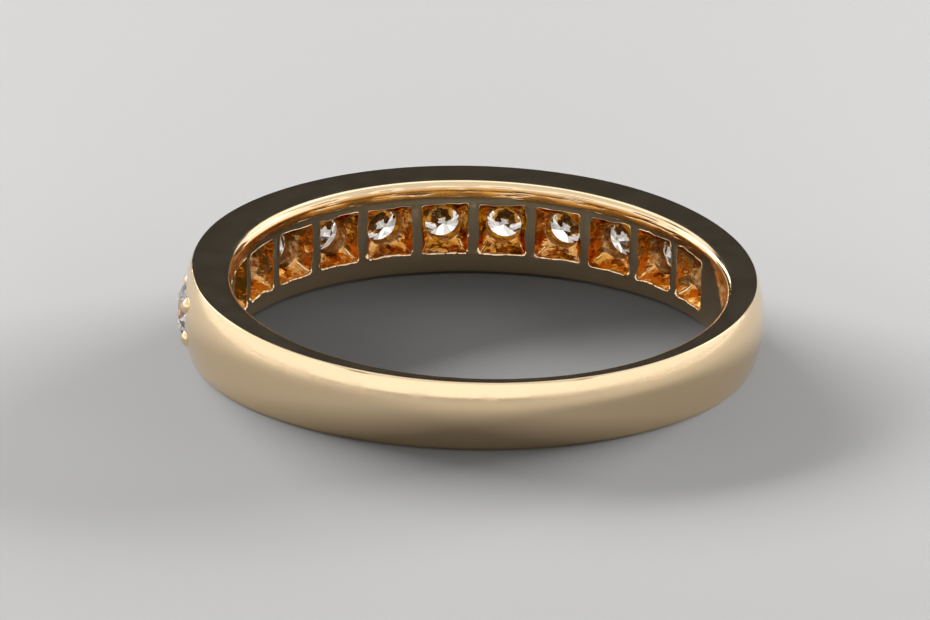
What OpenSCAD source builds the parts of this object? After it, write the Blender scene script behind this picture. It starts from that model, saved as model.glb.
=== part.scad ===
// Half eternity ring of yellow gold with a row of round brilliants, lying on its side.
// The set half is wide and thick, with a flat outer face. The plain half is narrow and thin,
// with a domed outer face. Behind each stone a square window tapers in from the finger hole.
// The ring is drawn upright about Z with the middle of the row at +Y, then laid on one side.

/* [Finger hole] */
// Inner diameter of the ring
bore_d = 17.3; // [16.9:0.1:17.5]
// Rounding where the finger hole meets the side faces
bore_round = 0.3; // [0.2:0.05:0.3]

/* [Band] */
// Width across the side faces at the middle of the set half
width_set = 3.58; // [3.5:0.02:3.6]
// Width across the side faces at the middle of the plain half
width_plain = 2.44; // [2.4:0.02:2.8]
// Wall from the finger hole to the flat face of the set half
wall_set = 1.69; // [1.67:0.01:1.72]
// Wall from the finger hole to the crest of the plain half
wall_plain = 0.83; // [0.7:0.01:1]
// How far the domed outside is shifted towards the set half
dome_shift = 0.75; // [0.7:0.01:0.85]
// Radius of the domed outside, across the band
dome_r = 3.6; // [3.2:0.1:5]

/* [Stones] */
// Angle from one stone to the next
stone_pitch = 13.55; // [13.2:0.05:13.6]
// Diameter of a stone at its girdle
stone_d = 2.1; // [1.9:0.02:2.14]
// Width of the table as a share of the girdle
table_share = 0.56; // [0.53:0.01:0.6]
// Slope of the crown's main facets
crown_deg = 34.5; // [32:0.5:36]
// Slope of the pavilion's main facets
pavilion_deg = 40.75; // [40:0.25:41.5]
// Height of the girdle's band
girdle_h = 0.06; // [0.04:0.01:0.08]
// Distance from the finger hole's wall to the tip of each stone
tip_depth = 0.55; // [0.5:0.01:0.6]

/* [Setting] */
// Gap between a stone and its seat
seat_gap = 0.03; // [0.02:0.01:0.04]
// Diameter of the round hole between window and seat
throat_d = 1.28; // [1.1:0.02:1.4]
// Depth of the sunk strip in which the stones sit
strip_depth = 0.12; // [0.08:0.01:0.14]
// Width of the sunk strip at its floor
strip_w = 2.32; // [2.24:0.02:2.4]
// Diameter of the gold grains that hold the stones
grain_d = 0.66; // [0.6:0.02:0.7]
// Height of each grain's centre above or below the middle of the band
grain_z = 0.6; // [0.56:0.01:0.64]

/* [Windows] */
// Width of a window around the finger hole
window_w = 1.66; // [1.5:0.02:1.7]
// Height of a window along the finger hole
window_h = 1.88; // [1.6:0.02:1.92]
// Depth to which a window tapers
window_depth = 0.5; // [0.4:0.05:0.55]
// Side of the small square at the bottom of the taper
window_floor = 1.3; // [1.28:0.01:1.36]

/* [Hidden] */
NODES = ["band", "stone_01", "stone_02", "stone_03", "stone_04", "stone_05", "stone_06",
         "stone_07", "stone_08", "stone_09", "stone_10", "stone_11", "stone_12"];
stone_count = len(NODES) - 1;
gold = [0.83, 0.62, 0.33];
clear = [0.93, 0.95, 0.97, 0.6];
// Length by which cutting shapes reach past what they cut
spare = 1;
// Length by which a rim's rounding reaches into the finger hole, so that the two cut cleanly
rim_over = 0.006;
// Length by which a window's cutting shape starts inside the finger hole
window_lead = 0.35;
// Angle by which the sunk strip goes on past the first and last stone
strip_past = 7.5;
// Depth of a grain's centre below the floor of the strip
grain_bed = 0.12;
// Length by which a grain goes down past the girdle, into the wall between two seats
grain_root = 0.25;
// Radius at which the pavilion's mains end, as a share of the girdle
keel_share = 0.22;

// Plan of the band: the finger hole, the flat set face and the shifted dome
bore_r = bore_d / 2;
face_r = bore_r + wall_set;
dome_mid = bore_r + wall_plain + dome_shift;
plain_y = -(bore_r + wall_plain);
width_slope = (width_set - width_plain) / (face_r - plain_y);
half_width_0 = (width_set - width_slope * face_r) / 2;
side_deg = atan(width_slope / 2);
reach = face_r + spare;
tall = width_set + spare;

// Heights in a stone, measured outwards from the middle of the finger hole
girdle_r = stone_d / 2;
table_r = girdle_r * table_share;
tip_h = bore_r + tip_depth;
girdle_low = tip_h + girdle_r * tan(pavilion_deg);
girdle_top = girdle_low + girdle_h;
table_h = girdle_top + (girdle_r - table_r) * tan(crown_deg);
half_step = 22.5;
turn_step = 17;
star_r = (table_r + girdle_r) / 2;
star_h = table_h - (star_r * cos(half_step) - table_r) * tan(crown_deg);
keel_r = girdle_r * keel_share;
keel_h = tip_h + keel_r * cos(half_step) * tan(pavilion_deg);

// Seats, grains and the sunk strip
seat_r = girdle_r + seat_gap;
throat_r = throat_d / 2;
seat_drop = seat_gap / cos(pavilion_deg);
strip_r = face_r - strip_depth;
row_half = stone_pitch * (stone_count - 1) / 2;
strip_half = row_half + strip_past;
grain_r = grain_d / 2;
grain_sink = strip_r - grain_bed;

// Lying on its side, the ring is tipped until the lower side face is level
lay_z = half_width_0 * cos(side_deg);
front_y = table_h * cos(stone_pitch / 2) + table_r * sin(stone_pitch / 2);
back_y = (plain_y + dome_r) * cos(side_deg) - dome_r;
lay_y = -(front_y * cos(side_deg) + back_y) / 2;

function half_width(y) = half_width_0 + y * width_slope / 2;
function stone_turn(i) = row_half - i * stone_pitch;
function facet_turn(i) = i * turn_step % (2 * half_step);
function spot(r, a, h) = [r * cos(a), r * sin(a), h];

// Laying the ring down on one side face
module laid() {
    translate([0, lay_y, lay_z]) rotate([side_deg, 0, 0]) children();
}

// Turning a thing drawn along +Z until it points outwards at one angle of the row
module outward(turn) {
    rotate([0, 0, turn]) rotate([-90, 0, 0]) children();
}

// Band without its openings: two sloping sides, the dome and the flat set face
module band_form() {
    intersection() {
        rotate([90, 0, 90]) linear_extrude(2 * reach, center = true)
            polygon([[-reach, -half_width(-reach)], [reach, -half_width(reach)],
                     [reach, half_width(reach)], [-reach, half_width(-reach)]]);
        translate([0, dome_shift, 0]) rotate_extrude($fn = 256) dome_section();
        cylinder(r = face_r, h = tall, center = true, $fn = 256);
    }
}

// Half of the dome's section, from the axis to the curved outside
module dome_section() {
    intersection() {
        union() {
            translate([0, -tall / 2]) square([dome_mid - dome_r, tall]);
            translate([dome_mid - dome_r, 0]) circle(r = dome_r, $fn = 96);
        }
        translate([0, -tall / 2]) square([reach, tall]);
    }
}

// Finger hole with its two rounded rims
module finger_hole() {
    cylinder(r = bore_r, h = tall + spare, center = true, $fn = 256);
    rim_cut();
    mirror([0, 0, 1]) rim_cut();
}

// Rounding of one rim, square to the sloping side face
module rim_cut() {
    rim_r = bore_round + rim_over;
    translate([0, 0, half_width_0]) rotate([side_deg, 0, 0])
        rotate_extrude($fn = 256) difference() {
            translate([bore_r - spare, -rim_r]) square([spare + bore_round, rim_r + spare]);
            translate([bore_r + bore_round, -rim_r]) circle(r = rim_r, $fn = 64);
        }
}

// Square window that narrows from the finger hole towards the stone
module window_cut() {
    start = bore_r - window_lead;
    end = bore_r + window_depth;
    grow_w = (window_w - window_floor) / window_depth * window_lead;
    grow_h = (window_h - window_floor) / window_depth * window_lead;
    intersection() {
        rotate([90, 0, 0]) linear_extrude(4, center = true)
            taper(start, end, window_w + grow_w, window_floor);
        rotate([90, 0, 90]) linear_extrude(4, center = true)
            taper(start, end, window_h + grow_h, window_floor);
    }
}

// Four-sided outline that narrows from one height to another
module taper(low, high, wide, narrow) {
    polygon([[-wide / 2, low], [wide / 2, low], [narrow / 2, high], [-narrow / 2, high]]);
}

// Throat, sloping seat and straight wall around the girdle
module seat_cut() {
    throat_top = tip_h + throat_r * tan(pavilion_deg) - seat_drop;
    seat_low = tip_h + seat_r * tan(pavilion_deg) - seat_drop;
    rotate_extrude($fn = 64)
        polygon([[0, bore_r + window_depth / 2], [throat_r, bore_r + window_depth / 2],
                 [throat_r, throat_top], [seat_r, seat_low], [seat_r, face_r + spare],
                 [0, face_r + spare]]);
}

// Space of the stone itself, which the grains bend over
module crown_room() {
    rotate_extrude($fn = 64)
        polygon([[0, girdle_low - spare], [seat_r, girdle_low - spare], [seat_r, girdle_top + seat_gap / 2],
                 [star_r, star_h + 1.5 * seat_gap], [0, star_h + 1.5 * seat_gap + star_r]]);
}

// Sunk strip with sloping bright-cut sides, along the whole row
module strip_cut() {
    side = spare / 2;
    rotate([0, 0, 90 - strip_half]) rotate_extrude(angle = 2 * strip_half, $fn = 256)
        polygon([[strip_r, -strip_w / 2], [strip_r + side, -strip_w / 2 - side],
                 [strip_r + side, strip_w / 2 + side], [strip_r, strip_w / 2]]);
}

// Pairs of grains between the stones and beyond both ends of the row
module grains() {
    difference() {
        for (i = [0 : stone_count], side = [-1, 1])
            outward(stone_turn(i - 0.5)) translate([0, side * grain_z, grain_sink])
                sphere(r = grain_r, $fn = 32);
        for (i = [0 : stone_count - 1]) outward(stone_turn(i)) crown_room();
        cylinder(r = girdle_top - grain_root, h = tall, center = true, $fn = 256);
    }
}

// The whole band, one piece of gold with its grains
module band() {
    color(gold) laid() {
        difference() {
            band_form();
            finger_hole();
            strip_cut();
            for (i = [0 : stone_count - 1]) outward(stone_turn(i)) {
                rotate([0, 0, 90]) window_cut();
                seat_cut();
            }
        }
        grains();
    }
}

// Round brilliant: table, stars, kites, upper and lower girdle facets, pavilion mains
module brilliant() {
    ring = [for (k = [0 : 15]) k * half_step];
    points = concat(
        [for (k = [0 : 7]) spot(table_r, 2 * k * half_step, table_h)],
        [for (k = [0 : 7]) spot(star_r, (2 * k + 1) * half_step, star_h)],
        [for (a = ring) spot(girdle_r, a, girdle_top)],
        [for (a = ring) spot(girdle_r, a, girdle_low)],
        [for (k = [0 : 7]) spot(keel_r, (2 * k + 1) * half_step, keel_h)],
        [[0, 0, tip_h]]);
    faces = concat(
        [[for (k = [0 : 7]) 7 - k]],
        [for (k = [0 : 7]) [k, (k + 1) % 8, 8 + k]],
        [for (k = [0 : 7]) [k, 8 + k, 16 + 2 * k, 8 + (k + 7) % 8]],
        [for (k = [0 : 7]) [8 + k, 16 + 2 * k + 1, 16 + 2 * k]],
        [for (k = [0 : 7]) [8 + k, 16 + (2 * k + 2) % 16, 16 + 2 * k + 1]],
        [for (k = [0 : 15]) [16 + k, 16 + (k + 1) % 16, 32 + (k + 1) % 16, 32 + k]],
        [for (k = [0 : 7]) [48 + k, 32 + 2 * k, 32 + 2 * k + 1]],
        [for (k = [0 : 7]) [48 + k, 32 + 2 * k + 1, 32 + (2 * k + 2) % 16]],
        [for (k = [0 : 7]) [56, 48 + (k + 7) % 8, 32 + 2 * k, 48 + k]]);
    polyhedron(points, faces, convexity = 2);
}

// One stone of the row, counted from the -X end. Each is turned a little further in its seat,
// because stones are set as they come.
module stone(i) {
    color(clear) laid() outward(stone_turn(i)) rotate([0, 0, facet_turn(i)]) brilliant();
}

band();
stone(0);  // stone_01
stone(1);  // stone_02
stone(2);  // stone_03
stone(3);  // stone_04
stone(4);  // stone_05
stone(5);  // stone_06
stone(6);  // stone_07
stone(7);  // stone_08
stone(8);  // stone_09
stone(9);  // stone_10
stone(10);  // stone_11
stone(11);  // stone_12
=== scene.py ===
"""Half eternity ring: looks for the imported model, laid out as an add-on and run as a script."""

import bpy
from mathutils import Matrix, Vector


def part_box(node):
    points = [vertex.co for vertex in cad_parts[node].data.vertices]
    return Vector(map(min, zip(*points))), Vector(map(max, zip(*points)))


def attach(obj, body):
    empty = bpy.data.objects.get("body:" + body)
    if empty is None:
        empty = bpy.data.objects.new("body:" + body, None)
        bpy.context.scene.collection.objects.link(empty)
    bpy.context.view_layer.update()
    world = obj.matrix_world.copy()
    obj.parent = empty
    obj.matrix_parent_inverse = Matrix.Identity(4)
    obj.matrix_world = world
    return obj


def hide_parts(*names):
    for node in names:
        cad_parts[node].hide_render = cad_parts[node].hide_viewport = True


bl_info = {
    "name": "Half Eternity Ring",
    "version": (1, 0, 0),
    "blender": (4, 5, 0),
    "location": "3D View > Sidebar > Ring",
    "description": "Dresses a half eternity ring and sets a small studio round it",
    "category": "Object",
}

import math

import bmesh
import bpy
import numpy as np
from mathutils import Matrix, Vector
from mathutils.bvhtree import BVHTree

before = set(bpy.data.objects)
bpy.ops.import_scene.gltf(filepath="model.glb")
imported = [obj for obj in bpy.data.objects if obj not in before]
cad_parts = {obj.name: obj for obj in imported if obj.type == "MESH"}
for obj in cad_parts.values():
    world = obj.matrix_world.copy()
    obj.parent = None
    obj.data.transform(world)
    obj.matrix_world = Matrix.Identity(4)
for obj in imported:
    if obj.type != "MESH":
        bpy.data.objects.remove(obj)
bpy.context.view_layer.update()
STONES = sorted(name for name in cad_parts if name.startswith("stone_"))

MM = 0.001
TURN = 2 * math.pi

# The stones' cut, as in the part's source: slope of the pavilion, and height of the girdle in millimetres
PAVILION = math.radians(40.75)
GIRDLE = 0.06

# How the setting was cut. Lengths are in millimetres.
GRAIN_SINK = 0.12  # from the floor of the sunk strip down to a grain's middle
GRAIN_WOBBLE = 0.02  # how far a grain's surface wanders
STRIP_RUN_OUT = math.radians(7.5)  # how far the strip runs on past the middle of the last stone
BRIGHT_FROM = 1.5  # cut faces that are farther out than this from the finger hole's wall are polished
CLEAR = 1  # how far a cutter reaches past the metal that it cuts

# Scales of the noise that hand-cut edges wander by. The ridges of the cut gold, with their painted
# highlights, follow the windows' edges.
WINDOW_WANDER = 1.3
GRAIN_WANDER = 1.5

# Steps round the ring, and round half of its section: wall, rim, side face, outer edge and dome
AROUND = 512
SECTION = (6, 9, 6, 4, 16)


# Sizes and colours that a user would change


def length(name, millimetres, description):
    """A size in millimetres, kept in metres as Blender shows it."""
    return bpy.props.FloatProperty(
        name=name, description=description, default=millimetres * MM,
        min=0, precision=6, unit="LENGTH", subtype="DISTANCE")


def angle(name, degrees, description):
    """An angle in degrees, kept in radians."""
    return bpy.props.FloatProperty(
        name=name, description=description, default=math.radians(degrees), unit="ROTATION", subtype="ANGLE")


def share(name, value, description):
    """A number from 0 to 1."""
    return bpy.props.FloatProperty(
        name=name, description=description, default=value, min=0, max=1, subtype="FACTOR")


def tint(name, rgb, description):
    """A colour."""
    return bpy.props.FloatVectorProperty(
        name=name, description=description, default=rgb, size=3, min=0, max=1, subtype="COLOR")


class BandSizes(bpy.types.PropertyGroup):
    """Sizes of the band, the same as in the part's source."""

    finger_radius: length("Finger Hole Radius", 8.65, "Radius of the finger hole")
    rim_rounding: length("Inner Rim Rounding", 0.3, "Rounding where the finger hole meets a side face")
    edge_softening: length("Outer Edge Softening", 0.05, "Rounding that polishing leaves on the outer edges")
    width_set: length("Width at the Stones", 3.58, "Width across the side faces at the middle of the row")
    width_plain: length("Width of the Shank", 2.44, "Width across the side faces opposite the row")
    wall_set: length("Wall at the Stones", 1.69, "Wall from the finger hole to the flat outer face")
    wall_plain: length("Wall of the Shank", 0.83, "Wall from the finger hole to the crest of the shank")
    dome_shift: length("Dome Shift", 0.75, "How far the domed outside is shifted towards the row")
    dome_radius: length("Dome Radius", 3.6, "Radius of the domed outside, across the band")


class SettingSizes(bpy.types.PropertyGroup):
    """Sizes of the windows, seats and grains."""

    pitch: angle("Stone Pitch", 13.55, "Angle from one stone to the next")
    window_width: length("Window Width", 1.66, "Width of a window around the finger hole")
    window_height: length("Window Height", 1.88, "Height of a window along the finger hole")
    window_depth: length("Window Depth", 0.5, "Depth to which a window tapers")
    window_floor: length("Window Floor", 1.3, "Side of the square at the bottom of the taper")
    wobble: length("Hand Cut Wobble", 0.13, "How far the hand-cut window edges wander")
    throat_radius: length("Throat Radius", 0.64, "Radius of the round hole behind a stone")
    tip_depth: length("Tip Depth", 0.55, "Distance from the finger hole's wall to the tip of a stone")
    stone_radius: length("Stone Radius", 1.05, "Radius of a stone at its girdle")
    seat_gap: length("Seat Gap", 0.03, "Gap between a stone and its seat")
    grain_radius: length("Grain Radius", 0.33, "Radius of a gold grain")
    grain_offset: length("Grain Offset", 0.6, "Height of a grain above or below the middle of the band")
    strip_depth: length("Strip Depth", 0.12, "Depth of the sunk strip around the stones")
    strip_width: length("Strip Width", 2.32, "Width of the sunk strip at its floor")
    burr: length("Burr Thickness", 0.13, "Thickness of the burr that the cutter left along the window edges")
    seed: bpy.props.IntProperty(name="Seed", description="Seed of the hand-cut unevenness", default=7, min=0)


class Finishes(bpy.types.PropertyGroup):
    """Colours of the metal and the stones."""

    gold: tint("Polished Gold", (0.92, 0.70, 0.44), "Colour of the polished yellow gold")
    # The cut gold's deep amber is darker than the polished gold: painted shade for the window and seat
    # recesses.
    cut_gold: tint("Cut Gold", (0.63, 0.262, 0.024), "Colour of the unpolished gold inside the windows")
    shine: share("Polish Roughness", 0.105, "Roughness of the polished gold")
    diamond: tint("Diamond", (0.95, 0.925, 0.885), "Colour of the stones")


class StudioSettings(bpy.types.PropertyGroup):
    """Camera and floor."""

    azimuth: angle("Azimuth", -14.9, "Direction from which the camera looks, from -Y")
    elevation: angle("Elevation", 19.82, "Height of the camera above the horizon")
    roll: angle("Roll", 1.016, "Turn of the camera about its own line of sight")
    distance: length("Camera Distance", 445.0, "Distance from the camera to the middle of the picture")
    floor: tint("Floor", (0.075, 0.0742, 0.073), "Colour of the pale floor")


GROUPS = {
    "ring_band": BandSizes,
    "ring_setting": SettingSizes,
    "ring_finish": Finishes,
    "ring_studio": StudioSettings,
}


def sizes(group):
    """The lengths of a group in millimetres, and its other values as they are."""
    kept = getattr(bpy.context.scene, group)
    found = {}
    for name, prop in kept.bl_rna.properties.items():
        if name in ("rna_type", "name"):
            continue
        value = getattr(kept, name)
        found[name] = value / MM if getattr(prop, "unit", "") == "LENGTH" else value
    return found


# Node trees written as expressions


class Value:
    """One socket of a node tree. Sums on it add Math nodes."""

    def __init__(self, tree, socket):
        self.tree, self.socket = tree, socket

    def math(self, operation, *others, clamp=False):
        """One Math node on this value and others."""
        settings = {"operation": operation, "use_clamp": clamp}
        return self.tree.add("ShaderNodeMath", settings, dict(enumerate((self, *others))))

    def __add__(self, other):
        return self.math("ADD", other)

    def __sub__(self, other):
        return self.math("SUBTRACT", other)

    def __mul__(self, other):
        return self.math("MULTIPLY", other)

    def __truediv__(self, other):
        return self.math("DIVIDE", other)

    def __rsub__(self, other):
        return self.tree.add("ShaderNodeMath", {"operation": "SUBTRACT"}, {0: other, 1: self})

    def __neg__(self):
        return self * -1

    __radd__ = __add__
    __rmul__ = __mul__

    def sin(self):
        return self.math("SINE")

    def cos(self):
        return self.math("COSINE")

    def root(self):
        return self.math("SQRT")

    def size(self):
        """The value without its sign."""
        return self.math("ABSOLUTE")

    def clamped(self):
        """The value kept from 0 to 1."""
        return self.math("ADD", 0, clamp=True)

    def smooth(self, low, high):
        """0 below low, 1 above high and smooth between."""
        return self.tree.add("ShaderNodeMapRange", {"interpolation_type": "SMOOTHSTEP"},
                             {"Value": self, "From Min": low, "From Max": high}, "Result")


class Tree:
    """A node tree whose nodes come from one method."""

    def __init__(self, tree):
        self.tree = tree

    def add(self, kind, settings=None, inputs=None, out=0):
        """A node with its settings made first and its sockets set or linked. Returns one output."""
        node = self.tree.nodes.new(kind)
        for name, value in (settings or {}).items():
            setattr(node, name, value)
        for name, value in (inputs or {}).items():
            if isinstance(value, Value):
                self.tree.links.new(value.socket, node.inputs[name])
            else:
                node.inputs[name].default_value = value
        return Value(self, node.outputs[out]) if len(node.outputs) else node

    def parts(self, vector):
        """The x, y and z of a vector."""
        return [self.add("ShaderNodeSeparateXYZ", None, {"Vector": vector}, k) for k in range(3)]

    def xyz(self, x, y, z):
        """A vector from its x, y and z."""
        return self.add("ShaderNodeCombineXYZ", None, {"X": x, "Y": y, "Z": z})

    def vector(self, operation, *inputs):
        """Vector arithmetic."""
        return self.add("ShaderNodeVectorMath", {"operation": operation}, dict(enumerate(inputs)))

    def noise(self, place, scale, detail=2.0, roughness=0.5):
        """Cloudy noise from 0 to 1."""
        return self.add("ShaderNodeTexNoise", None, {
            "Vector": place, "Scale": scale, "Detail": detail, "Roughness": roughness}, "Fac")

    def seeded_noise(self, place, seed, scale, out="Fac"):
        """Noise whose pattern changes with a seed."""
        return self.add("ShaderNodeTexNoise", {"noise_dimensions": "4D"}, {
            "Vector": place, "W": seed, "Scale": scale, "Detail": 2.0}, out)


class Shape(Tree):
    """A Geometry Nodes tree with named inputs."""

    KINDS = {float: "NodeSocketFloat", int: "NodeSocketInt", "object": "NodeSocketObject",
             "material": "NodeSocketMaterial"}

    def __init__(self, name, inputs):
        super().__init__(bpy.data.node_groups.new(name, "GeometryNodeTree"))
        face = self.tree.interface
        face.new_socket("Geometry", in_out="INPUT", socket_type="NodeSocketGeometry")
        for label, kind in inputs.items():
            face.new_socket(label, in_out="INPUT", socket_type=self.KINDS[kind])
        face.new_socket("Geometry", in_out="OUTPUT", socket_type="NodeSocketGeometry")
        self.given = self.tree.nodes.new("NodeGroupInput").outputs

    def __getitem__(self, label):
        return Value(self, self.given[label])

    def place(self):
        """The place of each point."""
        return self.add("GeometryNodeInputPosition")

    def finish(self, geometry):
        """Realizes what the tree makes, gives it the material and passes it on."""
        real = self.add("GeometryNodeRealizeInstances", None, {"Geometry": geometry})
        done = self.add("GeometryNodeSetMaterial", None, {"Geometry": real, "Material": self["Material"]})
        self.add("NodeGroupOutput", None, {"Geometry": done})
        return self.tree


# Objects and meshes


def linked_object(name, data):
    """An object of a mesh, light or camera, in the scene."""
    made = bpy.data.objects.new(name, data)
    bpy.context.scene.collection.objects.link(made)
    return made


def mesh_object(name, points, faces, material=None):
    """An object from its points and faces."""
    mesh = bpy.data.meshes.new(name)
    mesh.from_pydata(points, [], faces)
    if material:
        mesh.materials.append(material)
    return linked_object(name, mesh)


def applied(made):
    """The mesh that an object has with its modifiers applied."""
    evaluated = made.evaluated_get(bpy.context.evaluated_depsgraph_get())
    mesh = bpy.data.meshes.new_from_object(evaluated)
    made.modifiers.clear()
    return mesh


def made_by(tree, name, values, start=None):
    """A plain mesh object that a tree makes. Its inputs are set by their sockets' identifiers."""
    maker = linked_object(name, start if start is not None else bpy.data.meshes.new(name))
    modifier = maker.modifiers.new("shape", "NODES")
    modifier.node_group = tree
    for item in tree.interface.items_tree:
        if item.in_out == "INPUT" and item.name in values:
            modifier[item.identifier] = values[item.name]
    maker.data = applied(maker)
    if not maker.data.polygons:
        raise RuntimeError(f"{name}: the tree made nothing")
    return maker


def combine(target, operation, *tools):
    """Boolean of an object with others, applied at once."""
    least_faces = 8
    for tool in tools:
        modifier = target.modifiers.new("cut", "BOOLEAN")
        modifier.operation, modifier.solver, modifier.object = operation, "MANIFOLD", tool
        target.data = applied(target)
        if len(target.data.polygons) < least_faces:
            raise RuntimeError(f"the boolean with {tool.name} left nothing")
    return target


def outward_faces(made):
    """Merges doubles and turns every face outwards."""
    work = bmesh.new()
    work.from_mesh(made.data)
    bmesh.ops.remove_doubles(work, verts=work.verts, dist=1e-5)
    bmesh.ops.recalc_face_normals(work, faces=work.faces)
    work.to_mesh(made.data)
    work.free()
    return made


def drop(*objects):
    """Removes objects that only helped to cut or shade the band."""
    for gone in objects:
        bpy.data.objects.remove(gone)


# Measures that several pieces share


def laying():
    """From the upright ring in millimetres to the ring lying on its side, in metres.

    Also gives the band's half width at the ring's middle and the slope of that width towards the row.
    """
    b = sizes("ring_band")
    face = b["finger_radius"] + b["wall_set"]
    plain = -(b["finger_radius"] + b["wall_plain"])
    slope = (b["width_set"] - b["width_plain"]) / (face - plain)
    half = (b["width_set"] - slope * face) / 2
    side = math.atan(slope / 2)
    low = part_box("band")[0]
    turned = Matrix.Rotation(side, 4, "X")
    crest = (turned @ Vector((0, plain + b["dome_radius"], 0))).y - b["dome_radius"]
    lift = Matrix.Translation((0, low.y / MM - crest, half * math.cos(side)))
    return Matrix.Scale(MM, 4) @ lift @ turned, half, slope


def taper(s, part):
    """Width and height of a window, from its bottom (part 0) to the finger hole (part 1)."""
    floor = s["window_floor"]
    return [floor + (s[side] - floor) * part for side in ("window_width", "window_height")]


def stone_heights(b, s):
    """Distances from the ring's axis to a stone's tip and to the bottom and top of its girdle."""
    tip = b["finger_radius"] + s["tip_depth"]
    low = tip + s["stone_radius"] * math.tan(PAVILION)
    return tip, low, low + GIRDLE


# Materials


def principled(name, settings):
    """A material with one Principled shader and constants on its own sockets."""
    made = bpy.data.materials.new(name)
    made.use_nodes = True
    shader = made.node_tree.nodes["Principled BSDF"]
    for socket, value in settings.items():
        shader.inputs[socket].default_value = value
    return made, Tree(made.node_tree), shader


def feed(tree, shader, **links):
    """Links values to the shader's sockets. An underscore stands for a space in a socket's name."""
    for name, value in links.items():
        tree.tree.links.new(value.socket, shader.inputs[name.replace("_", " ")])


def object_place(tree):
    """The place on the piece, in metres."""
    return tree.add("ShaderNodeTexCoord", None, None, "Object")


def ring_place(tree):
    """The place in the upright ring, in millimetres."""
    back = laying()[0].inverted()
    return tree.add("ShaderNodeMapping", None, {
        "Vector": object_place(tree), "Scale": (1 / MM,) * 3, "Rotation": back.to_euler()[:],
        "Location": back.translation[:]})


def along_row(x, y, radius, pitch):
    """Distance round the ring from the middle of the nearest window, in millimetres."""
    turn = x.math("ARCTAN2", y) / pitch
    return ((turn - turn.math("FLOOR") - 0.5) * pitch * radius).size()


def mixed(tree, amount, first, second):
    """Two colours mixed. Several sockets of a Mix node share a name, so these go by their numbers."""
    colour_a, colour_b, colour_out = 6, 7, 2

    def rgba(colour):
        return colour if isinstance(colour, Value) else (*colour, 1)

    return tree.add("ShaderNodeMix", {"data_type": "RGBA"}, {
        0: amount, colour_a: rgba(first), colour_b: rgba(second)}, colour_out)


def blended(first, second, amount):
    """Two plain colours mixed."""
    return tuple(a + (b - a) * amount for a, b in zip(first, second))


def dimmed(colour, amount):
    """A plain colour made darker."""
    return tuple(c * amount for c in colour)


def polished_gold():
    """Polished yellow gold with the faint haze and hairlines of a ring that has been worn."""
    finish, b, s = sizes("ring_finish"), sizes("ring_band"), sizes("ring_setting")
    gold, wall = finish["gold"][:], b["finger_radius"]
    made, tree, shader = principled("polished_gold", {"Metallic": 1.0})
    place = ring_place(tree)
    x, y, z = tree.parts(place)
    radius = (x * x + y * y).root()

    # Haze, and hairlines that run round the ring
    lines_per_mm = 55
    haze = tree.noise(place, 0.26, 3)
    worn = haze.smooth(0.35, 0.7)
    rings = tree.xyz(radius * lines_per_mm, z * lines_per_mm, haze * 3)
    hairline = tree.noise(rings, 1, 3, 0.6) * tree.noise(place, 1.1, 1).smooth(0.4, 0.6)

    # Streaks that a hand tool left along the rim above the windows, tinted with the cut gold's deep amber as
    # painted shade, and the wall that it rolled over
    roll_reach = 0.3
    half, slope = laying()[1:]
    to_rim = half + y * (slope / 2) - b["rim_rounding"] - z.size()
    by_hand = (1 - radius.smooth(wall + 0.02, wall + 0.1)) * y.smooth(1.1, 1.7)
    upper = by_hand * z.smooth(-0.2, 0.2)
    streak_and_shade = tree.noise(tree.vector("MULTIPLY", place, (0.7, 0.7, 7.0)), 1.0, 2).smooth(0.27, 0.47)
    streak_and_shade = streak_and_shade * upper * to_rim.smooth(-0.15, -0.07) * (1 - to_rim.smooth(0.2, 0.34))
    fall = (roll_reach - to_rim).math("MAXIMUM", 0).math("MINIMUM", roll_reach)
    fall = fall * fall * upper * (tree.noise(place, 0.5, 1).smooth(0.36, 0.62) * 3.5 + 1)

    # Bars between the windows, rounded towards their edges and slightly wavy
    bars = by_hand * (1 - z.size().smooth(0.8, 1.0))
    from_bar = wall * s["pitch"] / 2 - along_row(x, y, radius, s["pitch"])
    rolled = (from_bar * from_bar * -5.0).math("MAXIMUM", -0.3)
    wavy = tree.noise(tree.vector("MULTIPLY", place, (3.0, 3.0, 0.8)), 1.0, 1.5)

    worked = tree.add("ShaderNodeBump", None, {
        "Height": streak_and_shade * 0.1 - fall + (rolled + wavy * 0.8 - 0.4) * bars, "Strength": 1.0,
        "Distance": 0.1 * MM}, "Normal")
    fine = tree.add("ShaderNodeBump", None, {
        "Height": hairline, "Strength": 0.05, "Distance": 0.02 * MM, "Normal": worked}, "Normal")
    # The streaks take on the cut gold's deep amber: painted shade.
    feed(tree, shader,
         Base_Color=mixed(tree, streak_and_shade * 0.9, mixed(
             tree, worn * 0.4, gold, dimmed(gold, 0.95)), finish["cut_gold"][:]),
         Roughness=finish["shine"] + 0.012 * worn + 0.05 * hairline + 0.15 * streak_and_shade,
         Normal=fine)
    return made


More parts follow.
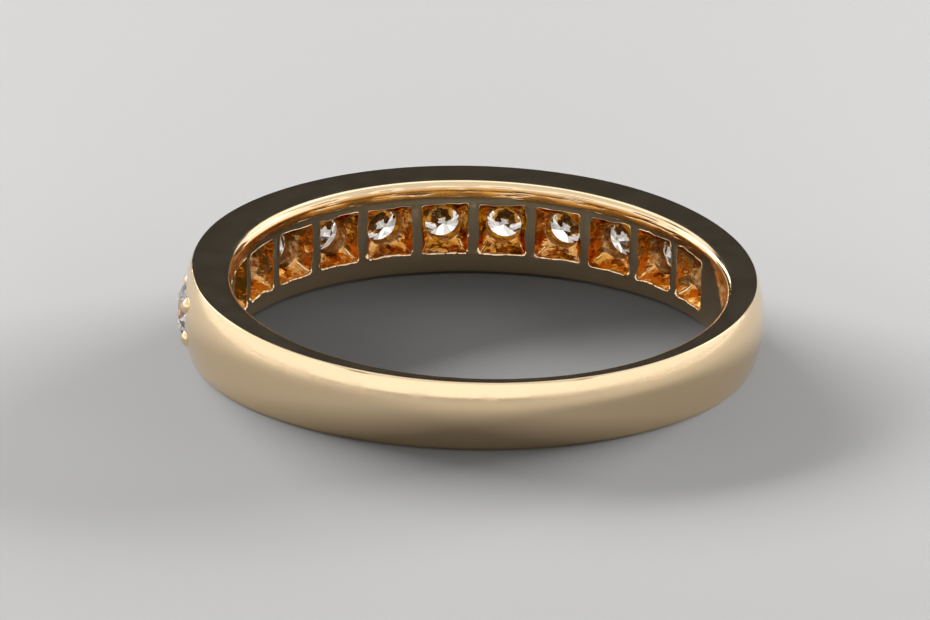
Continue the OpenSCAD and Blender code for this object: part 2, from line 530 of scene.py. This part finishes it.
def cut_gold():
    """Gold inside the windows and seats, left as the cutter left it. Its deep amber colour is painted shade
    that darkens the recesses, and the corner ridges carry a painted highlight.
    """
    finish, s, wall = sizes("ring_finish"), sizes("ring_setting"), sizes("ring_band")["finger_radius"]
    shaded_amber, gold = finish["cut_gold"][:], finish["gold"][:]
    # bright is the painted highlight colour of the corner ridges; pale and seat are blends of the
    # painted-shade amber towards the gold.
    pale, seat, bright = blended(shaded_amber, gold, 0.22), blended(shaded_amber, gold, 0.35), (0.95, 0.74, 0.42)
    half = (0.5,) * 3
    made, tree, shader = principled("cut_gold", {"Metallic": 1.0, "Specular Tint": (0.85, 0.5, 0.16, 1)})
    place = ring_place(tree)
    marks = tree.noise(place, 5.2, 3, 0.6)
    chatter = tree.noise(tree.vector("MULTIPLY", place, (2.5, 2.5, 7.0)), 1, 2)
    patch = tree.noise(place, 1.4, 2)

    # Ridges down the windows' corners, with a painted highlight in their colour. The wandering of the edges
    # is taken back first.
    wander = tree.seeded_noise(place, float(s["seed"]), WINDOW_WANDER, "Color")
    even = tree.vector("SUBTRACT", place, tree.vector(
        "MULTIPLY", tree.vector("SUBTRACT", wander, half), (s["wobble"] * 2,) * 3))
    x, y, z = tree.parts(even)
    radius = (x * x + y * y).root()
    part = (1 - (radius - wall) / s["window_depth"]).clamped()
    wide, tall = taper(s, part)
    off = (along_row(x, y, radius, s["pitch"]) - wide / 2 - z.size() + tall / 2).size()
    ridge_and_highlight = (1 - off.smooth(0.02, 0.07)) * part.smooth(0.05, 0.25) * (1 - 0.6 * z.smooth(-0.3, 0.3))
    ridge_and_highlight = ridge_and_highlight * tree.noise(place, 1.9, 1).smooth(0.38, 0.5)

    # Small facets where the cutter took out chips
    chips = tree.add("ShaderNodeTexVoronoi", None, {"Vector": place, "Scale": 4.5}, "Color")
    normal = tree.add("ShaderNodeNewGeometry", None, None, "Normal")
    sharp = tree.vector("NORMALIZE", tree.vector("ADD", normal, tree.vector(
        "MULTIPLY", tree.vector("SUBTRACT", chips, half), (0.34,) * 3)))

    inside = 1 - part.smooth(0.0, 0.1)
    wall_colour = mixed(tree, patch.smooth(0.35, 0.65), shaded_amber, pale)
    rough = tree.add("ShaderNodeBump", None, {
        "Height": marks * 0.4 + chatter * 0.4 + ridge_and_highlight * 0.5, "Strength": 0.8, "Distance": 0.08 * MM,
        "Normal": sharp}, "Normal")
    # The ridges' pale colour is a painted highlight; the deep amber under it is painted shade.
    feed(tree, shader,
         Base_Color=mixed(tree, ridge_and_highlight, mixed(tree, inside, wall_colour, seat), bright),
         Roughness=0.06 + 0.12 * marks + 0.16 * inside,
         Normal=rough)
    return made


def diamond():
    """Clear stone with the faintest polishing haze."""
    clear = sizes("ring_finish")["diamond"][:]
    made, tree, shader = principled("diamond", {"Transmission Weight": 1.0, "IOR": 2.417, "Metallic": 0.0})
    haze = tree.noise(object_place(tree), 2600, 2)
    feed(tree, shader,
         Base_Color=mixed(tree, haze, clear, dimmed(clear, 0.985)),
         Roughness=0.004 + 0.012 * haze.smooth(0.5, 0.75))
    return made


# Band


def blank_tree():
    """Band without its openings, from a grid that is bent round the ring and round its section."""
    t = Shape("band_blank", {
        "Finger Hole Radius": float, "Rim Rounding": float, "Edge Softening": float, "Half Width": float,
        "Side Slope": float, "Face Radius": float, "Dome Middle": float, "Dome Radius": float,
        "Dome Shift": float, "Material": "material"})
    half_count = sum(SECTION)
    grid = t.add("GeometryNodeMeshGrid", None, {
        "Size X": 1.0, "Size Y": 1.0, "Vertices X": AROUND + 1, "Vertices Y": 2 * half_count + 1})
    x, y, _ = t.parts(t.place())
    turn = (x + 0.5) * TURN
    across = y * 2 * half_count
    upper = -across.math("SIGN")
    step = half_count - across.size()
    starts = np.cumsum([0, *SECTION])
    wall, rim, side, edge, dome = (
        ((step - float(a)) / float(n)).clamped() for a, n in zip(starts, SECTION))
    sin, cos = turn.sin(), turn.cos()
    hole, rim_r, soft, shift = (
        t[name] for name in ("Finger Hole Radius", "Rim Rounding", "Edge Softening", "Dome Shift"))
    base, dome_r = t["Dome Middle"] - t["Dome Radius"], t["Dome Radius"] - soft
    limit = t["Face Radius"] - soft

    def half_width(radius):
        return t["Half Width"] + radius * cos * t["Side Slope"] * 0.5

    def reach(rho):
        """Distance from the finger hole's axis of a point at rho from the dome's axis."""
        return shift * cos + (rho * rho - (shift * sin) * (shift * sin)).root()

    def under_face(rho):
        """The same distance, kept under the flat face."""
        return reach(rho).math("SMOOTH_MIN", limit, 0.12)

    def rho_at(height):
        return base + (dome_r * dome_r - height * height).root()

    # The outer corner depends on its own height, so it is found in a few rounds
    corner = limit
    for _ in range(3):
        low = half_width(corner) - soft
        corner = under_face(rho_at(low))
    low = half_width(corner) - soft
    domed = 1 - (reach(rho_at(low)) - limit).smooth(-0.1, 0.1)
    lean = (low / dome_r).math("ARCSINE")
    here = lean * (1 - dome)
    bend = rim * (math.pi / 2)
    fall = (math.pi / 2) - edge * (math.pi / 2 - lean * domed)
    out = fall + (here - lean) * domed
    start = hole + rim_r * (1 - bend.cos())
    on_side = start + side * (corner - start)
    radius = on_side + soft * out.cos() \
        + under_face(base + dome_r * here.cos()) - under_face(base + dome_r * lean.cos())
    height = wall * (half_width(on_side) - rim_r) + rim_r * bend.sin() + soft * (out.sin() - 1) \
        + dome_r * (here.sin() - lean.sin())
    placed = t.add("GeometryNodeSetPosition", None, {
        "Geometry": grid, "Position": t.xyz(radius * sin, radius * cos, height * upper)})
    welded = t.add("GeometryNodeMergeByDistance", None, {"Geometry": placed, "Distance": 1e-4})
    return t.finish(t.add("GeometryNodeSetShadeSmooth", None, {"Geometry": welded}))


def row_tree():
    """Repeats a piece along the row and makes it uneven by hand-made amounts."""
    t = Shape("along_the_row", {
        "Piece": "object", "Count": int, "First": float, "Pitch": float, "Wobble": float, "Grain": float,
        "Seed": float, "Material": "material"})
    points = t.add("GeometryNodePoints", None, {"Count": t["Count"]})
    index = t.add("GeometryNodeInputIndex")
    spin = t.add("FunctionNodeEulerToRotation", None, {
        "Euler": t.xyz(0.0, 0.0, t["First"] - index * t["Pitch"])})
    piece = t.add("GeometryNodeObjectInfo", None, {"Object": t["Piece"]}, "Geometry")
    row = t.add("GeometryNodeInstanceOnPoints", None, {"Points": points, "Instance": piece, "Rotation": spin})
    real = t.add("GeometryNodeRealizeInstances", None, {"Geometry": row})
    wander = t.vector("SUBTRACT", t.seeded_noise(t.place(), t["Seed"], t["Grain"], "Color"), (0.5, 0.5, 0.5))
    moved = t.add("ShaderNodeVectorMath", {"operation": "SCALE"}, {0: wander, "Scale": t["Wobble"] * 2})
    return t.finish(t.add("GeometryNodeSetPosition", None, {"Geometry": real, "Offset": moved}))


def burr_tree():
    """A thin uneven bead of metal along the window edges, thickest below the windows."""
    t = Shape("burr_along_edge", {"Thickness": float, "Seed": float, "Material": "material"})
    curve = t.add("GeometryNodeMeshToCurve", None, {"Mesh": t["Geometry"]})
    at = t.place()
    patchy = t.seeded_noise(at, t["Seed"], 1.1).smooth(0.42, 0.68)
    lumpy = t.seeded_noise(at, t["Seed"] + 3.1, 6.0).smooth(0.3, 0.75)
    low = 1 - t.parts(at)[2].smooth(-0.88, -0.72)
    radius = (0.08 + (patchy * 0.45 + low * 0.95) * (0.4 + 0.8 * lumpy)) * t["Thickness"]
    ring = t.add("GeometryNodeCurvePrimitiveCircle", None, {"Resolution": 6, "Radius": 0.5})
    tube = t.add("GeometryNodeCurveToMesh", None, {
        "Curve": curve, "Profile Curve": ring, "Scale": radius, "Fill Caps": True})
    return t.finish(t.add("GeometryNodeSetShadeSmooth", None, {"Geometry": tube}))


def box_grid(counts, spot):
    """A closed box of small squares, with each point of it sent to spot(u, v, w)."""
    work = bmesh.new()
    known = {}

    def vert(at):
        if at not in known:
            i, j, k = (step / count for step, count in zip(at, counts))
            known[at] = work.verts.new(spot(2 * i - 1, j, 2 * k - 1))
        return known[at]

    # Each pair of sides runs along two of the axes and closes the third
    for first, second, third in ((0, 2, 1), (0, 1, 2), (1, 2, 0)):
        for a in range(counts[first]):
            for b in range(counts[second]):
                for end in (0, counts[third]):
                    square = []
                    for da, db in ((0, 0), (1, 0), (1, 1), (0, 1)):
                        at = {first: a + da, second: b + db, third: end}
                        square.append(vert((at[0], at[1], at[2])))
                    work.faces.new(square)
    bmesh.ops.recalc_face_normals(work, faces=work.faces)
    mesh = bpy.data.meshes.new("cutter")
    work.to_mesh(mesh)
    work.free()
    return linked_object("cutter", mesh)


def window_cutter(b, s):
    """Square taper with slightly rounded corners, pointing along +Y."""
    start, depth = -0.35, s["window_depth"]
    squareness = 16

    def spot(u, v, w):
        y = start + (depth - start) * v
        part = (depth - y) / depth
        wide, tall = taper(s, part)
        most, least = max(abs(u), abs(w), 1e-9), min(abs(u), abs(w))
        sharp = 2 + (squareness - 2) * min(1, max(0, part)) ** 0.7
        pull = (1 + (least / most) ** sharp) ** (-1 / sharp)
        return u * wide / 2 * pull, b["finger_radius"] + y, w * tall / 2 * pull

    return box_grid((14, 6, 14), spot)


def turned_solid(profile, sides):
    """A closed solid of revolution about +Y from (radius, height) pairs that start and end on the axis."""
    points, faces, rings = [], [], []
    for radius, height in profile:
        if radius < 1e-9:
            rings.append([len(points)])
            points.append((0, height, 0))
        else:
            rings.append(list(range(len(points), len(points) + sides)))
            turns = (TURN * k / sides for k in range(sides))
            points += [(radius * math.cos(turn), height, radius * math.sin(turn)) for turn in turns]
    for low, high in zip(rings, rings[1:]):
        for k in range(sides):
            nxt = (k + 1) % sides
            if len(low) == 1:
                faces.append((low[0], high[nxt], high[k]))
            elif len(high) == 1:
                faces.append((low[k], low[nxt], high[0]))
            else:
                faces.append((low[k], low[nxt], high[nxt], high[k]))
    return outward_faces(mesh_object("turned", points, faces))


def seat_cutter(b, s):
    """A stone's round throat and sloping seat, open to the outside."""
    tip = stone_heights(b, s)[0]
    slope, gap = math.tan(PAVILION), s["seat_gap"] / math.cos(PAVILION)
    throat, seat = s["throat_radius"], s["stone_radius"] + s["seat_gap"]
    start = b["finger_radius"] + s["window_depth"] / 2
    end = b["finger_radius"] + b["wall_set"] + CLEAR
    return turned_solid([
        (0, start), (throat, start), (throat, tip + throat * slope - gap), (seat, tip + seat * slope - gap),
        (seat, end), (0, end)], sides=48)


def crown_room(b, s):
    """The room that a stone takes among the grains, a little larger than its girdle and crown."""
    play, shoulder, shoulder_rise, peak_rise = 0.015, 0.82, 0.22, 1.05
    _, low, top = stone_heights(b, s)
    seat = s["stone_radius"] + s["seat_gap"]
    return turned_solid([
        (0, low - CLEAR), (seat, low - CLEAR), (seat, top + play), (shoulder, top + shoulder_rise),
        (0, top + peak_rise)], sides=48)


def grain_pair(b, s):
    """Two round grains, above and below the middle of the band."""
    radius, steps = s["grain_radius"], 10
    pair = turned_solid([
        (radius * math.sin(math.pi * k / steps), -radius * math.cos(math.pi * k / steps))
        for k in range(steps + 1)], sides=20)
    sunk = b["finger_radius"] + b["wall_set"] - s["strip_depth"] - GRAIN_SINK
    both = bmesh.new()
    for height in (s["grain_offset"], -s["grain_offset"]):
        bead = pair.data.copy()
        bead.transform(Matrix.Translation((0, sunk, height)))
        both.from_mesh(bead)
    both.to_mesh(pair.data)
    both.free()
    return pair


def grain_core(b, s):
    """A round core that reaches to just under the stones' girdles, and that the grains stay out of."""
    under_girdle, half = 0.25, 3
    reach = stone_heights(b, s)[2] - under_girdle
    core = turned_solid([(0, -half), (reach, -half), (reach, half), (0, half)], sides=256)
    core.data.transform(Matrix.Rotation(math.pi / 2, 4, "X"))
    return core


def strip_cutter(b, s, half_turn):
    """Sunk strip with sloping sides along the row, closed at both ends."""
    over, steps = 0.4, 160
    face = b["finger_radius"] + b["wall_set"]
    low, high, wide = face - s["strip_depth"], face + over, s["strip_width"] / 2
    section = [(low, -wide), (high, -wide - high + low), (high, wide + high - low), (low, wide)]
    points, faces = [], []
    for k in range(steps + 1):
        a = half_turn * (2 * k / steps - 1)
        points += [(r * math.sin(a), r * math.cos(a), z) for r, z in section]
    for k in range(steps):
        faces += [(4 * k + i, 4 * k + (i + 1) % 4, 4 * k + 4 + (i + 1) % 4, 4 * k + 4 + i) for i in range(4)]
    faces += [(0, 1, 2, 3), (4 * steps + 3, 4 * steps + 2, 4 * steps + 1, 4 * steps)]
    return outward_faces(mesh_object("strip", points, faces))


def shade_band(made, blank, polished, cut, outside):
    """Gives each face its finish, and the polished faces the smooth normals of the uncut band.

    Returns which faces lie on the uncut band's skin.
    """
    skin_gap, skin_lean, crease = 0.012, 0.94, 0.6
    mesh, smooth = made.data, blank.data
    tree = BVHTree.FromPolygons([v.co for v in smooth.vertices], [p.vertices for p in smooth.polygons])

    def smooth_normal(point):
        """The uncut band's normal at its point nearest to this one."""
        where, _, index, _ = tree.find_nearest(point)
        corners = [smooth.vertices[v] for v in smooth.polygons[index].vertices]
        weights = [(1 / ((where - v.co).length + 1e-7)) ** 2 for v in corners]
        return sum((v.normal * w for v, w in zip(corners, weights)), Vector()).normalized()

    skin = np.zeros(len(mesh.polygons), bool)
    bright = np.zeros(len(mesh.polygons), bool)
    for poly in mesh.polygons:
        bright[poly.index] = math.hypot(poly.center.x, poly.center.y) > outside
        _, _, index, distance = tree.find_nearest(poly.center)
        skin[poly.index] = distance < skin_gap and smooth.polygons[index].normal.dot(poly.normal) > skin_lean
    mesh.materials.clear()
    mesh.materials.append(polished)
    mesh.materials.append(cut)
    mesh.polygons.foreach_set("material_index", np.where(skin | bright, 0, 1).astype(np.int32))
    mesh.polygons.foreach_set("use_smooth", np.ones(len(mesh.polygons), bool))
    work = bmesh.new()
    work.from_mesh(mesh)
    for edge in work.edges:
        if len(edge.link_faces) == 2:
            on_skin = [skin[face.index] for face in edge.link_faces]
            edge.smooth = all(on_skin) or (not any(on_skin) and edge.calc_face_angle(0) < crease)
    work.to_mesh(mesh)
    work.free()
    normals = np.zeros(len(mesh.loops) * 3, np.float32)
    mesh.corner_normals.foreach_get("vector", normals)
    normals = normals.reshape(-1, 3)
    known = {}
    for poly in mesh.polygons:
        if not skin[poly.index]:
            continue
        for loop in poly.loop_indices:
            v = mesh.loops[loop].vertex_index
            if v not in known:
                known[v] = smooth_normal(mesh.vertices[v].co)
            normals[loop] = known[v]
    mesh.normals_split_custom_set([tuple(n) for n in normals])
    return skin


def keep_edges(band, skin, hole):
    """Keeps the window edges on the finger hole's wall as a wire, for the burrs."""
    off_wall = 0.02
    work = bmesh.new()
    work.from_mesh(band.data)
    points, lines, known = [], [], {}
    for edge in work.edges:
        if len(edge.link_faces) != 2 or skin[edge.link_faces[0].index] == skin[edge.link_faces[1].index]:
            continue
        if all(abs(math.hypot(v.co.x, v.co.y) - hole) < off_wall for v in edge.verts):
            for v in edge.verts:
                if v.index not in known:
                    known[v.index] = len(points)
                    points.append(v.co.copy())
            lines.append([known[v.index] for v in edge.verts])
    work.free()
    bpy.data.meshes.new("window_edges").from_pydata(points, lines, [])


class MakeBand(bpy.types.Operator):
    """Builds the polished band with its windows, seats, strip and grains"""

    bl_idname = "ring.make_band"
    bl_label = "Band"
    bl_options = {"REGISTER", "UNDO"}

    def execute(self, context):
        b, s = sizes("ring_band"), sizes("ring_setting")
        polished, cut = polished_gold(), cut_gold()
        lay, half, slope = laying()
        hole = b["finger_radius"]
        blank = outward_faces(made_by(blank_tree(), "blank", {
            "Finger Hole Radius": hole, "Rim Rounding": b["rim_rounding"],
            "Edge Softening": b["edge_softening"], "Half Width": half, "Side Slope": slope,
            "Face Radius": hole + b["wall_set"],
            "Dome Middle": hole + b["wall_plain"] + b["dome_shift"], "Dome Radius": b["dome_radius"],
            "Dome Shift": b["dome_shift"], "Material": polished}))

        row, count = row_tree(), len(STONES)
        first = s["pitch"] * (count - 1) / 2

        def repeated(name, piece, wobble=0.0, grain=1.0, **others):
            """A piece repeated along the row. The piece itself is dropped."""
            made = made_by(row, name, {
                "Piece": piece, "Count": count, "First": first, "Pitch": s["pitch"], "Wobble": wobble,
                "Grain": grain, "Seed": float(s["seed"]), "Material": cut, **others})
            drop(piece)
            return made

        windows = repeated("windows", window_cutter(b, s), s["wobble"], WINDOW_WANDER)
        seats = repeated("seats", seat_cutter(b, s))
        rooms = repeated("rooms", crown_room(b, s))
        grains = repeated("grains", grain_pair(b, s), GRAIN_WOBBLE, GRAIN_WANDER, Count=count + 1,
                          First=first + s["pitch"] / 2)
        core, strip = grain_core(b, s), strip_cutter(b, s, first + STRIP_RUN_OUT)

        band = linked_object("band_polished", blank.data.copy())
        combine(grains, "DIFFERENCE", rooms, core)
        combine(band, "DIFFERENCE", strip, windows, seats)
        combine(band, "UNION", grains)
        skin = shade_band(band, blank, polished, cut, hole + BRIGHT_FROM)
        keep_edges(band, skin, hole)
        drop(blank, windows, seats, rooms, grains, core, strip)
        band.data.transform(lay)
        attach(band, "root")
        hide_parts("band")
        return {"FINISHED"}


class MakeBurrs(bpy.types.Operator):
    """Adds the thin burr that the cutter left along the window edges"""

    bl_idname = "ring.make_burrs"
    bl_label = "Window Burrs"
    bl_options = {"REGISTER", "UNDO"}

    def execute(self, context):
        s = sizes("ring_setting")
        burr = outward_faces(made_by(burr_tree(), "window_burrs", {
            "Thickness": s["burr"], "Seed": float(s["seed"]), "Material": polished_gold()},
            bpy.data.meshes["window_edges"]))
        burr.data.transform(laying()[0])
        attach(burr, "root")
        return {"FINISHED"}


class FinishStones(bpy.types.Operator):
    """Gives each brilliant its clear, faceted finish"""

    bl_idname = "ring.finish_stones"
    bl_label = "Stones"
    bl_options = {"REGISTER", "UNDO"}

    def execute(self, context):
        clear = diamond()
        for name in STONES:
            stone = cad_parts[name]
            stone.data.materials.clear()
            stone.data.materials.append(clear)
        return {"FINISHED"}


# Studio

# Each soft light: name, brightness, (width, height), place, the point that it faces, and whether the gold
# mirrors it. Those that it doesn't mirror only light the floor.
MIDDLE = (0, 0, 0.001)
SOFT_LIGHTS = (
    ("key", 248.0, (0.6, 0.16), (-0.29, 0.605, 0.21), MIDDLE, False),
    ("key_right", 597.0, (0.5, 0.1), (0.66, 0.34, 0.119), MIDDLE, False),
    ("key_gloss", 12.0, (0.5, 0.03), (-0.275, 0.588, 0.262), MIDDLE, True),
    ("pool_left", 21.5, (0.04, 0.09), (-0.07, 0.035, 0.03), (-0.07, 0.035, 0), False),
    ("pool_right", 21.5, (0.04, 0.09), (0.072, -0.02, 0.03), (0.072, -0.02, 0), False),
    ("back_top", 1.25, (0.6, 0.28), (0.12, 0.42, 0.5), MIDDLE, True),
    ("back_left", 1.2, (0.42, 0.34), (-0.36, 0.45, 0.33), MIDDLE, True),
    ("back_right", 1.2, (0.5, 0.34), (0.55, 0.22, 0.33), MIDDLE, True),
    ("front_low", 1.2, (1.3755, 0.3), (-0.19, -0.68, 0.15), (0, 0, 0.15), True),
    ("front_high", 0.8, (1.2, 0.5), (-0.14, -0.52, 0.49), MIDDLE, True),
    ("overhead", 0.75, (1.3, 0.8), (0.0, 0.03, 0.62), MIDDLE, True),
    ("left", 1.15, (1.3, 0.28), (-0.61, 0.17, 0.14), (0, 0, 0.14), True),
    ("right", 1.15, (1.3, 0.28), (0.61, -0.17, 0.14), (0, 0, 0.14), True),
    ("left_high", 0.75, (0.9, 0.3), (-0.55, 0.1, 0.37), MIDDLE, True),
    ("right_high", 0.75, (0.9, 0.3), (0.53, -0.2, 0.37), MIDDLE, True),
)

# How the photograph frames the ring: half its width in pixels, a length and the pixels that it spans,
# and where the middle of the picture lies from the middle of the ring, in such lengths
HALF_WIDTH = 465
RULER, RULER_PIXELS = 0.0089, 253.97
TO_THE_RIGHT, UPWARDS = -0.0512, 0.1872


class SetStudio(bpy.types.Operator):
    """Lays the pale floor and sets the soft lights and the camera"""

    bl_idname = "ring.set_studio"
    bl_label = "Studio"
    bl_options = {"REGISTER", "UNDO"}

    def execute(self, context):
        self.floor()
        for light in SOFT_LIGHTS:
            self.softbox(*light)
        self.room(context)
        self.camera(context)
        return {"FINISHED"}

    def floor(self):
        """Lays the floor just under the ring."""
        half, level = 1.6, -2e-5
        pale = sizes("ring_studio")["floor"][:]
        made, tree, shader = principled("pale_floor", {"Specular IOR Level": 0.0, "Roughness": 0.6})
        cloudy = tree.noise(object_place(tree), 9, 3)
        feed(tree, shader, Base_Color=mixed(tree, cloudy, pale, dimmed(pale, 0.97)))
        corners = [(-half, -half, level), (half, -half, level), (half, half, level), (-half, half, level)]
        mesh_object("floor", corners, [(0, 1, 2, 3)], made)

    def softbox(self, name, brightness, size, place, aim, mirrored):
        """Adds a flat light that looks equally bright at any size."""
        data = bpy.data.lights.new(name, "AREA")
        data.shape, data.size, data.size_y = "RECTANGLE", *size
        data.energy = brightness * math.pi * size[0] * size[1]
        lamp = linked_object(name, data)
        lamp.location = place
        lamp.visible_glossy = lamp.visible_transmission = mirrored
        lamp.rotation_mode = "QUATERNION"
        lamp.rotation_quaternion = (Vector(aim) - Vector(place)).to_track_quat("-Z", "Y")

    def room(self, context):
        """Fills what the lights leave dark with a little cool light."""
        world = bpy.data.worlds.new("room")
        world.use_nodes = True
        background = world.node_tree.nodes["Background"]
        background.inputs["Color"].default_value = (0.9, 0.95, 1.0, 1)
        background.inputs["Strength"].default_value = 0.045
        context.scene.world = world
        context.scene.view_settings.view_transform = "Standard"

    def camera(self, context):
        """Sets the camera where the ring's edges in the photograph put it."""
        s = sizes("ring_studio")
        a, e, roll, distance = s["azimuth"], s["elevation"], s["roll"], s["distance"] * MM
        right = Vector((math.cos(a), math.sin(a), 0))
        back = Vector((math.sin(a) * math.cos(e), -math.cos(a) * math.cos(e), math.sin(e)))
        up = back.cross(right)
        ring_middle = Vector((0, -0.0005, 0))
        aim = ring_middle + RULER * (TO_THE_RIGHT * right + UPWARDS * up)
        data = bpy.data.cameras.new("camera")
        data.sensor_width = 36
        data.lens = data.sensor_width / 2 * distance / (HALF_WIDTH / RULER_PIXELS * RULER)
        data.clip_start, data.clip_end = 0.01, 20
        camera = linked_object("camera", data)
        rolled_right = right * math.cos(roll) + up * math.sin(roll)
        rolled_up = up * math.cos(roll) - right * math.sin(roll)
        turned = Matrix((rolled_right, rolled_up, back)).transposed().to_4x4()
        camera.matrix_world = Matrix.Translation(aim + back * distance) @ turned
        context.scene.camera = camera


class RingPanel(bpy.types.Panel):
    """Steps and sizes of the ring"""

    bl_idname = "VIEW3D_PT_half_eternity_ring"
    bl_label = "Half Eternity Ring"
    bl_space_type = "VIEW_3D"
    bl_region_type = "UI"
    bl_category = "Ring"

    def draw(self, context):
        for step in STEPS:
            self.layout.operator(step.bl_idname)
        for group in GROUPS:
            box = self.layout.box()
            kept = getattr(context.scene, group)
            for name in kept.__annotations__:
                box.prop(kept, name)


STEPS = (MakeBand, MakeBurrs, FinishStones, SetStudio)
CLASSES = (*GROUPS.values(), *STEPS, RingPanel)


def register():
    for each in CLASSES:
        bpy.utils.register_class(each)
    for name, group in GROUPS.items():
        setattr(bpy.types.Scene, name, bpy.props.PointerProperty(type=group))


def unregister():
    for name in GROUPS:
        delattr(bpy.types.Scene, name)
    for each in reversed(CLASSES):
        bpy.utils.unregister_class(each)


def main():
    register()
    bpy.ops.ring.make_band()
    bpy.ops.ring.make_burrs()
    bpy.ops.ring.finish_stones()
    bpy.ops.ring.set_studio()


if __name__ == "__main__":
    main()
